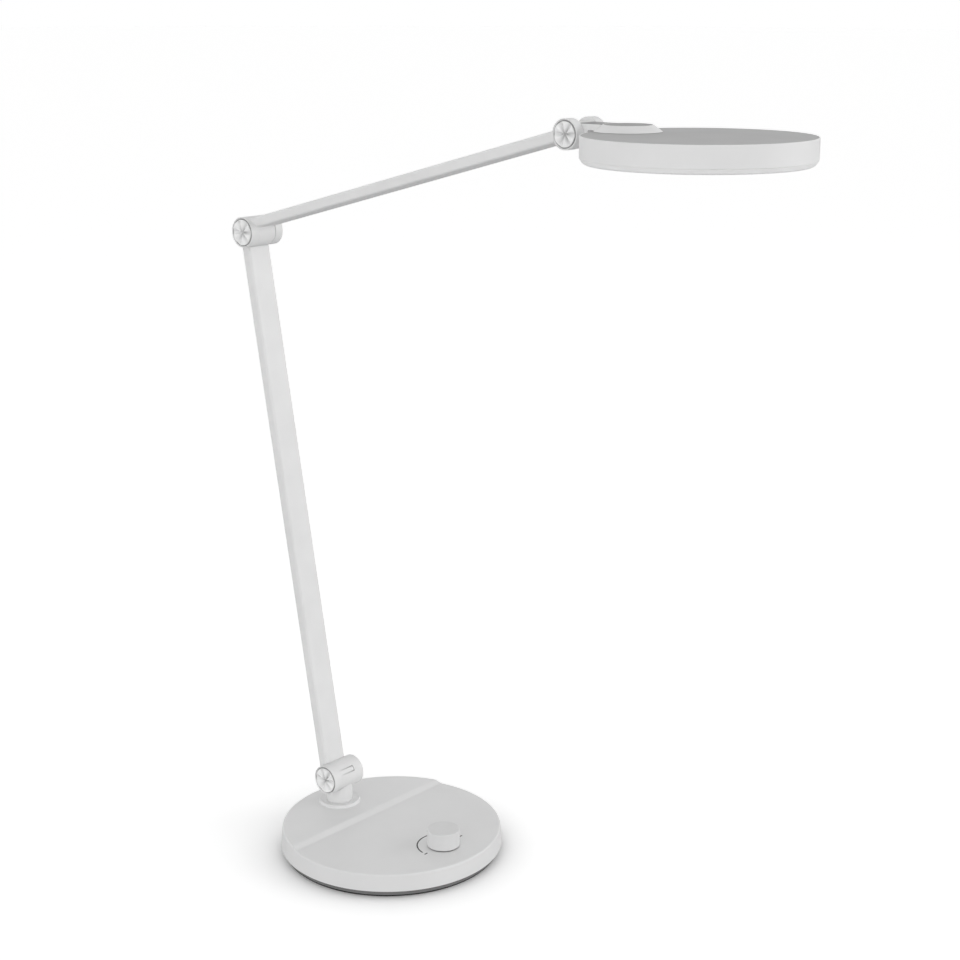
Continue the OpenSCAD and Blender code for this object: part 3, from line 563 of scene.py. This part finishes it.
def makeCollar():
    look = collarLook
    bm = bmesh.new()
    outer, low = collarHigh.x, collarLow.z
    inner, floor = postLook["neck"] + look["gap"], plateauZ + look["floor"]
    spinShape(bm, [(look["bore"], low, 0), (outer, low, 0), (outer, plateauZ, 0),
                   (outer - look["lean"], plateauZ + look["lip"], look["lipEdge"]),
                   (inner + look["slope"], floor, look["slopeEdge"]), (inner, floor, 0),
                   (inner, plateauZ, 0), (look["bore"], plateauZ, 0)],
              postAxis, steps=120)
    settlePiece("postCollar", bm, "base", "white_metal", ["swivel_collar"])


# printed arc and end ticks round the knob: angles from +X, towards the back
scaleLook = dict(arc=21.0, width=1.1, tickIn=18.8, tickOut=22.1, start=10, end=171,
                 ticks=(0, 180), raised=0.03, sunk=0.05)


def makeScale():
    look = scaleLook
    bm = bmesh.new()
    low, high = deckZ - look["sunk"], deckZ + look["raised"]
    half = look["width"] / 2
    part = bmesh.new()
    inner, outer = look["arc"] - half, look["arc"] + half
    rim = [(inner, low), (outer, low), (outer, high), (inner, high)]
    face = part.faces.new([part.verts.new((r, 0, z)) for r, z in rim])
    bmesh.ops.rotate(part, cent=(0, 0, 0), verts=part.verts,
                     matrix=Matrix.Rotation(radians(look["start"]), 3, "Z"))
    bmesh.ops.spin(part, geom=[face] + part.edges[:] + part.verts[:], cent=(0, 0, 0),
                   axis=(0, 0, 1), dvec=(0, 0, 0), steps=60,
                   angle=radians(look["end"] - look["start"]))
    bmesh.ops.remove_doubles(part, verts=part.verts, dist=tiny)
    bmesh.ops.recalc_face_normals(part, faces=part.faces)
    joinShape(bm, part, knobAxis)
    for angle in look["ticks"]:
        prismShape(bm, [(-half, low), (half, low), (half, high), (-half, high)],
                   look["tickIn"], look["tickOut"],
                   knobAxis @ Matrix.Rotation(radians(angle), 4, "Z"))
    settlePiece("printedScale", bm, "base", "white_plastic", finish="greyInk")


knobLook = dict(edge=0.9, footEdge=0.7, wall=2.0, wallEdge=0.2, roof=2.2, roofEdge=0.3,
                bore=3.02, hub=5.2, hubGap=5.1, hubEdge=0.2)


def makeKnob():
    look = knobLook
    bm = bmesh.new()
    outer, low, high = knobHigh.x, knobLow.z, knobHigh.z
    inner, inside, hubLow = outer - look["wall"], high - look["roof"], low + look["hubGap"]
    spinShape(bm, [
        (inner, low, look["wallEdge"]), (outer, low, look["footEdge"]),
        (outer, high, look["edge"]), (0, high, 0), (0, inside, 0), (look["bore"], inside, 0),
        (look["bore"], hubLow, 0), (look["hub"], hubLow, look["hubEdge"]),
        (look["hub"], inside, 0), (inner, inside, look["roofEdge"]),
    ], knobAxis, steps=160)
    settlePiece("dimmerDial", bm, "knob", "white_plastic", ["dimmer_knob"],
                finish="matteWhitePaintedShade")


# the post: its neck runs up into the barrel and ends in a saddle under the knuckle
postLook = dict(neck=10.7, footEdge=0.3, saddle=5.0, bore=7.0)


def makePost():
    look = postLook
    bm = bmesh.new()
    at = Matrix.Translation(baseHinge)
    addCheeks(bm, barrels["base"], at)
    high = baseHinge.z - look["saddle"]
    neck = bmesh.new()
    spinShape(neck, [(look["bore"], postLow.z, 0), (look["neck"], postLow.z, look["footEdge"]),
                     (look["neck"], high, 0), (look["bore"], high, 0)], postAxis, steps=120)
    room = bmesh.new()
    half = hingeLook["cheekInner"]
    plugShape(room, barrels["base"] + hingeLook["bodyGap"], -half, half, at @ alongX, steps=120)
    joinShape(bm, carveShape(neck, room), Matrix())
    settlePiece("postTee", bm, "post", "white_metal", ["post_fork"])


# the arms: a tube between two castings. stub is where a casting's bar starts from its
# hinge, core is the bar inside it, and strips run on into the cheeks
armLook = dict(width=22.0, casting=16.0, corner=2.0, stub=8.0, core=4.0, coreInset=0.1,
               coreShort=1.0, coreEdge=0.5, stripInset=0.04, stripShort=0.5, stripReach=0.8)
lowerLook = dict(armLook, turn=-10.0, length=453.5, tip=1.5, off=6.5, thick=9.0, flare=0.0,
                 root="base", top="elbow")
upperLook = dict(armLook, turn=75.0, length=338.0, tip=4.4, off=5.5, thick=8.4, flare=4.5,
                 root="elbow", top="head")


def armPlace(look, at):
    return Matrix.Translation(at) @ Matrix.Rotation(radians(look["turn"]), 4, "X")


# a fine groove along three sides of a panel in the base barrel: it fades towards the left
slotLook = dict(half=7.2, low=21.5, high=44.5, deep=2.2, shallow=0.8, groove=0.75, round=1.0,
                block=6.0, over=2.0)


def wedgeShape(low, high, tall):
    look = slotLook
    part = bmesh.new()
    bmesh.ops.create_cube(part, size=1)
    bmesh.ops.scale(part, vec=(high - low, look["block"], tall), verts=part.verts)
    bmesh.ops.translate(part, vec=((low + high) / 2, -look["block"] / 2, 0), verts=part.verts)
    for vert in part.verts:
        if vert.co.y > -look["block"] / 2:
            vert.co.y = 0 if vert.co.x > 0 else look["shallow"] - look["deep"]
    ends = [e for e in part.edges if e.verts[0].co.x > 0
            and abs(e.verts[0].co.y - e.verts[1].co.y) > look["block"] / 2]
    bmesh.ops.bevel(part, geom=ends, offset=look["round"], offset_type="OFFSET",
                    affect="EDGES", segments=6, profile=0.5, material=-1)
    return part


def slotCutter(radius, place):
    look = slotLook
    tall = radius * radians(look["high"] - look["low"])
    cutter = carveShape(wedgeShape(-look["half"], look["half"], tall),
                        wedgeShape(-look["half"] - look["over"], look["half"] - look["groove"],
                                   tall - 2 * look["groove"]))
    middle = radians((look["low"] + look["high"]) / 2)
    bmesh.ops.translate(cutter, vec=(0, -radius + look["deep"], 0), verts=cutter.verts)
    bmesh.ops.transform(cutter, matrix=place @ Matrix.Rotation(-middle, 4, "X"),
                        verts=cutter.verts)
    return cutter


def makeArm(look, at, label, body, prefix, slot=False, openRight=False):
    place = armPlace(look, at)
    width, thick, off, corner = look["width"], look["thick"], look["off"], look["corner"]
    length, casting, stub = look["length"], look["casting"], look["stub"]
    rootRadius, tipRadius = barrels[look["root"]], barrels[look["top"]]
    gap, half = hingeLook["bodyGap"], hingeLook["knuckleHalf"]

    root = bmesh.new()
    addKnuckle(root, rootRadius, place, openRight)
    if slot:
        root = carveShape(root, slotCutter(rootRadius, Matrix.Translation(at)))
    barShape(root, width, thick, off, stub, casting, place, corner,
             ("low", 0, 0, rootRadius + gap), flare=look["flare"])
    barShape(root, 2 * half, thick - look["coreInset"], off, look["core"],
             casting - look["coreShort"], place, look["coreEdge"])
    settlePiece(label + "Root", root, body, "white_metal", [prefix + "_knuckle"])

    tube = bmesh.new()
    barShape(tube, width, thick, off, casting, length - casting, place, corner)
    settlePiece(label + "Tube", tube, body, "white_metal", [prefix + "_tube"])

    tip = bmesh.new()
    tipPlace = place @ Matrix.Translation((0, look["tip"], length))
    addCheeks(tip, tipRadius, tipPlace, look["top"] == "elbow")
    barShape(tip, width, thick, off, length - casting, length - stub, place, corner,
             ("high", look["tip"], length, tipRadius + gap))
    for side in (-1, 1):
        barShape(tip, width - look["stripInset"], thick - look["stripInset"], off,
                 length - casting + look["stripShort"], length - stub, place, corner,
                 ("high", look["tip"], length, tipRadius - look["stripReach"]),
                 stripX=side * hingeLook["cheekInner"])
    settlePiece(label + "Tip", tip, body, "white_metal", [prefix + "_fork"])


screwLook = dict(head=2.8, proud=0.25, edge=0.2, shank=1.5, deep=1.2, sink=0.05, socket=1.1,
                 socketDeep=1.6, spots=(7, 17))


def makeArmScrews(look, at, label, body, node):
    screw = screwLook
    bm = bmesh.new()
    face = look["off"] + look["thick"] / 2
    fromRoot = [look["casting"] + spot for spot in screw["spots"]]
    for along in fromRoot + [look["length"] - spot for spot in fromRoot]:
        part = bmesh.new()
        spinShape(part, [(0, -screw["deep"], 0), (screw["shank"], -screw["deep"], 0),
                         (screw["head"], -screw["sink"], 0),
                         (screw["head"], screw["proud"], screw["edge"]),
                         (0, screw["proud"], 0)], steps=48)
        cutter = bmesh.new()
        bmesh.ops.create_cone(cutter, cap_ends=True, segments=6, radius1=screw["socket"],
                              radius2=screw["socket"], depth=screw["socketDeep"],
                              matrix=Matrix.Translation((0, 0, screw["proud"])))
        joinShape(bm, carveShape(part, cutter),
                  armPlace(look, at) @ Matrix.Translation((0, face, along)) @ alongY)
    settlePiece(label, bm, body, "plain_steel", [node])


makeCover()
makePlate()
makeCollar()
makeScale()
makeKnob()
print("stage: base")
makePost()
makeArm(lowerLook, baseHinge, "lowerArm", "lower_arm", "lower", slot=True)
makeArm(upperLook, elbowHinge, "upperArm", "upper_arm", "upper", openRight=True)
makeArmScrews(lowerLook, baseHinge, "lowerArmFixings", "lower_arm", "lower_arm_screws")
makeArmScrews(upperLook, elbowHinge, "upperArmFixings", "upper_arm", "upper_arm_screws")
print("stage: arms")


# the head: its rooms are clearances round the swivel pin and the glide ring
headLook = dict(skin=1.5, skinEdge=0.2, rimWidth=0.9, rimEdge=0.1, topEdge=0.5, web=2.0,
                webEdge=0.3, wall=2.6, wallEdge=0.1, footEdge=0.04, pinRoom=0.3, skinRoom=1.0,
                glideRoom=0.2, glideDip=0.05, drillOver=5.0)
headAxis = Matrix.Translation(((housingLow.x + housingHigh.x) / 2,
                               (housingLow.y + housingHigh.y) / 2, 0))
headRadius = (housingHigh.x - housingLow.x) / 2
headTop, headFoot = housingHigh.z, housingLow.z
headShelf = headTop - headLook["skin"]


def makeHousing():
    look = headLook
    web, inner = headShelf - look["web"], headRadius - look["wall"]
    lip = headRadius - look["rimWidth"]
    bm = bmesh.new()
    spinShape(bm, [
        (0, web, 0), (inner, web, look["webEdge"]), (inner, headFoot, look["wallEdge"]),
        (headRadius, headFoot, look["footEdge"]), (headRadius, headTop, look["topEdge"]),
        (lip, headTop, look["rimEdge"]), (lip, headShelf, 0), (0, headShelf, 0),
    ], headAxis, steps=256)
    hole = bmesh.new()
    plugShape(hole, pinHigh.x + look["pinRoom"], headFoot, headTop + look["drillOver"],
              swivelAxis)
    settlePiece("headShell", carveShape(bm, hole), "head", "white_plastic", ["head_housing"])


def makeTopSkin():
    look = headLook
    edge = skinHigh.x
    bm = bmesh.new()
    spinShape(bm, [(0, headShelf, 0), (edge, headShelf, 0), (edge, headTop, look["skinEdge"]),
                   (0, headTop, 0)], headAxis, steps=256)
    # room for the pin, and a shallow seat that the glide ring turns on
    room, ring = pinHigh.x + look["skinRoom"], glideHigh.x + look["glideRoom"]
    seat, over = headTop - look["glideDip"], headTop + look["drillOver"]
    hole = bmesh.new()
    spinShape(hole, [(0, headFoot, 0), (room, headFoot, 0), (room, seat, 0), (ring, seat, 0),
                     (ring, over, 0), (0, over, 0)], swivelAxis, steps=96)
    settlePiece("headTopSkin", carveShape(bm, hole), "head", "grey_plastic", ["head_top_cover"])


diffuserLook = dict(round=1.6, flange=0.08, seam=0.03, wall=2.0, topEdge=0.1, bend=1.0)


def makeDiffuser():
    look = diffuserLook
    outer, low, high, wall = diffuserHigh.x, diffuserLow.z, diffuserHigh.z, look["wall"]
    seam = headFoot - look["seam"]
    bm = bmesh.new()
    spinShape(bm, [
        (0, low, 0), (outer, low, look["round"]),
        (headRadius - look["flange"], seam, look["seam"]), (outer, seam, 0),
        (outer, high, look["topEdge"]), (outer - wall, high, look["topEdge"]),
        (outer - wall, headFoot, look["bend"]), (outer - 2 * wall, low + wall, look["bend"]),
        (0, low + wall, 0),
    ], headAxis, steps=256)
    settlePiece("opalDiffuser", bm, "head", "opal_plastic", ["diffuser"])


# the bracket's tongue and boss share a flat top with a darker inlay let into it
bracketLook = dict(drop=0.5, clear=0.15, shave=0.3, flatCut=0.04, cutter=20.0, cutterHigh=9.0,
                   root=13.5, heel=9.2, start=4.0, rise=1.0, lap=0.5, soften=0.15,
                   bossSlope=6.0, bossEdge=0.25, bossFoot=0.1, glideOver=0.02, glideRoom=0.2,
                   pinRoom=0.1)
inlayLook = dict(deep=0.35, rim=0.8, rimEdge=0.05, play=0.05, edge=0.1, strip=0.3, lap=10.0,
                 end=5.0, sink=0.02, soften=0.08)
bracketTop = bossHigh.z - bracketLook["drop"]
inlayFloor = bracketTop - inlayLook["deep"]
bossTopRadius = bossHigh.x - bracketLook["bossSlope"]


def makeBracket():
    look = bracketLook
    half = hingeLook["knuckleHalf"]
    low = housingHigh.z + look["clear"]
    seat, ring = glideHigh.z + look["glideOver"], glideHigh.x + look["glideRoom"]
    bore, pinTop = pinHigh.x + look["pinRoom"], pinHigh.z + look["pinRoom"]
    bm = bmesh.new()
    knuckle = bmesh.new()
    addKnuckle(knuckle, barrels["head"] - look["shave"], Matrix.Translation(headHinge))
    cutter = bmesh.new()
    front, back = headHinge.y - look["cutter"], headHinge.y + look["cutter"]
    flat, over = bracketTop - look["flatCut"], bracketTop + look["cutterHigh"]
    prismShape(cutter, [(front, flat), (back, flat), (back, over), (front, over)],
               -look["cutter"], look["cutter"])
    joinShape(bm, carveShape(knuckle, cutter), Matrix())
    root, start = headHinge.y - look["root"], headHinge.y - look["start"]
    under, end = headHinge.z - look["start"], headSwivel.y + ring + look["lap"]
    prismShape(bm, [
        (start, inlayFloor), (end, inlayFloor), (end, low), (root, low),
        (root, headHinge.z - look["rise"]), (headHinge.y - look["heel"], under),
        (start, under),
    ], -half, half, soften=look["soften"])
    inlayRim = bossTopRadius - inlayLook["rim"]
    spinShape(bm, [(bore, seat, 0), (ring, seat, 0), (ring, low, 0),
                   (bossHigh.x, low, look["bossFoot"]),
                   (bossTopRadius, bracketTop, look["bossEdge"]),
                   (inlayRim, bracketTop, inlayLook["rimEdge"]), (inlayRim, inlayFloor, 0),
                   (0, inlayFloor, 0), (0, pinTop, 0), (bore, pinTop, 0)],
              swivelAxis, steps=160)
    settlePiece("headBracket", bm, "bracket", "white_metal", ["head_bracket"])


def makeInlay():
    look = inlayLook
    half = hingeLook["knuckleHalf"] - look["strip"]
    edge = bossTopRadius - look["rim"] - look["play"]
    bm = bmesh.new()
    spinShape(bm, [(0, inlayFloor, 0), (edge, inlayFloor, 0), (edge, bracketTop, look["edge"]),
                   (0, bracketTop, 0)], swivelAxis, steps=120)
    start, end = headSwivel.y + look["lap"], headHinge.y - look["end"]
    low, high = inlayFloor - look["sink"], bracketTop - look["sink"]
    prismShape(bm, [(start, low), (end, low), (end, high), (start, high)], -half, half,
               soften=look["soften"])
    settlePiece("bracketInlay", bm, "bracket", "grey_plastic", finish="darkInlay")


washerLook = dict(radius=7.4, bore=3.1, outer=8.6, thick=0.9, edge=0.1)


def makeTiltWashers():
    look = washerLook
    bm = bmesh.new()
    inside = look["outer"] - look["thick"]
    for side in (alongX, towardsLeft):
        spinShape(bm, [(look["bore"], inside, 0), (look["radius"], inside, look["edge"]),
                       (look["radius"], look["outer"], look["edge"]),
                       (look["bore"], look["outer"], 0)],
                  Matrix.Translation(headHinge) @ side, steps=64)
    settlePiece("tiltWashers", bm, "bracket", "natural_plastic", ["head_hinge_washers"])


makeHousing()
makeTopSkin()
makeDiffuser()
makeBracket()
makeInlay()
makeTiltWashers()
print("stage: head")


# floor, light and camera. skyRamp pairs a direction's height (0 horizon, 1 straight up)
# with its brightness
stageLook = dict(bounce="#d4d4d4", paper="#ffffff", paperRoughness=0.9, reach=40.0,
                 floorGlow=0.3, paintedShadowReach=0.15, paintedShadowPower=3.0, paintedShadowSamples=8,
                 skyRamp=((0.0, 2.9), (0.1, 2.0), (0.2, 1.4), (0.35, 0.85), (1.0, 0.43)),
                 lamps=dict(windowPanel=dict(power=10.2, size=1.6, place=(1.55, -1.75, 0.75)),
                            leftPanel=dict(power=3.0, size=1.6, place=(-1.6, -0.5, 0.35))))


def whenSeen(tree, mirrored=True):
    # 1 for what the camera sees directly or through something clear, and where mirrored
    # is set also for what it sees in a reflection
    rays = addNode(tree, "ShaderNodeLightPath").outputs
    seen = rays["Is Camera Ray"]
    if mirrored:
        seen = addNode(tree, "ShaderNodeMath", operation="MAXIMUM",
                       links={0: seen, 1: rays["Is Glossy Ray"]}).outputs[0]
    return addNode(tree, "ShaderNodeMath", operation="MAXIMUM",
                   links={0: seen, 1: rays["Is Transmission Ray"]}).outputs[0]


def makeFloor():
    look = stageLook
    bm = bmesh.new()
    bmesh.ops.create_grid(bm, x_segments=1, y_segments=1, size=look["reach"])
    mesh = bpy.data.meshes.new("studioFloor")
    bm.to_mesh(mesh)
    bm.free()
    floor = bpy.data.objects.new("studioFloor", mesh)
    bpy.context.scene.collection.objects.link(floor)
    # matte seamless paper: white to the camera, and a grey that throws less light back
    paper = bpy.data.materials.new("seamlessPaper")
    paper.use_nodes = True
    tree = paper.node_tree
    shader = tree.nodes["Principled BSDF"]
    shader.inputs["Roughness"].default_value = look["paperRoughness"]
    shader.inputs["Specular IOR Level"].default_value = 0.0
    shader.inputs["Emission Color"].default_value = (1, 1, 1, 1)
    tone = addNode(tree, "ShaderNodeMix", {"A": hexColour(look["bounce"]),
                                           "B": hexColour(look["paper"])},
                   {"Factor": whenSeen(tree, mirrored=False)}, data_type="RGBA")
    tree.links.new(tone.outputs["Result"], shader.inputs["Base Color"])
    # a little extra for the camera, away from the lamp, so that the paper stays white; ambient
    # occlusion takes the extra away near the object, a painted contact shadow over the rendered one
    near = addNode(tree, "ShaderNodeAmbientOcclusion", {"Distance": look["paintedShadowReach"]},
                   samples=look["paintedShadowSamples"])
    glow = addNode(tree, "ShaderNodeMath", {1: look["paintedShadowPower"]}, {0: near.outputs["AO"]},
                   operation="POWER").outputs[0]
    glow = addNode(tree, "ShaderNodeMath", {1: look["floorGlow"]}, {0: glow},
                   operation="MULTIPLY").outputs[0]
    glow = addNode(tree, "ShaderNodeMath", links={0: glow, 1: whenSeen(tree, mirrored=False)},
                   operation="MULTIPLY").outputs[0]
    tree.links.new(glow, shader.inputs["Emission Strength"])
    mesh.materials.append(paper)


def makeSky():
    world = bpy.data.worlds.new("softStudio")
    world.use_nodes = True
    tree = world.node_tree
    background = tree.nodes["Background"]
    background.inputs["Color"].default_value = (1, 1, 1, 1)
    heading = addNode(tree, "ShaderNodeTexCoord").outputs["Generated"]
    height = addNode(tree, "ShaderNodeSeparateXYZ", links={"Vector": heading}).outputs["Z"]
    sky = addNode(tree, "ShaderNodeValToRGB", links={"Fac": height})
    stops = sky.color_ramp.elements
    ramp = stageLook["skyRamp"]
    for place, _ in ramp[1:-1]:
        stops.new(place)
    for stop, (place, level) in zip(stops, ramp):
        stop.position = place
        stop.color = (level, level, level, 1)
    strength = addNode(tree, "ShaderNodeMix", {"B": 1.0},
                       {"Factor": whenSeen(tree), "A": sky.outputs["Color"]})
    tree.links.new(strength.outputs["Result"], background.inputs["Strength"])
    bpy.context.scene.world = world


def makeLamps():
    middle = (cadBox[0] + cadBox[1]) / 2
    for name, values in stageLook["lamps"].items():
        panel = bpy.data.lights.new(name, "AREA")
        panel.shape = "DISK"
        panel.size = values["size"]
        panel.energy = values["power"]
        lamp = bpy.data.objects.new(name, panel)
        bpy.context.scene.collection.objects.link(lamp)
        lamp.location = middle + Vector(values["place"])
        lamp.rotation_euler = (middle - lamp.location).to_track_quat("-Z", "Y").to_euler()


# the camera that was fitted to the photograph's outlines, far end of its view in metres
cameraLook = dict(location=(-958.88, -938.35, 668.73), pitch=75.023, turn=-48.698, lens=67.10,
                  sensor=36.0, farEnd=50)


def makeCamera():
    look = cameraLook
    data = bpy.data.cameras.new("photoCamera")
    data.sensor_width = look["sensor"]
    data.lens = look["lens"]
    data.clip_end = look["farEnd"]
    camera = bpy.data.objects.new("photoCamera", data)
    bpy.context.scene.collection.objects.link(camera)
    camera.location = Vector(look["location"]) * mm
    camera.rotation_euler = (radians(look["pitch"]), 0, radians(look["turn"]))
    bpy.context.scene.camera = camera


makeFloor()
makeSky()
makeLamps()
makeCamera()
bpy.context.scene.view_settings.view_transform = "Standard"
print("stage: studio")
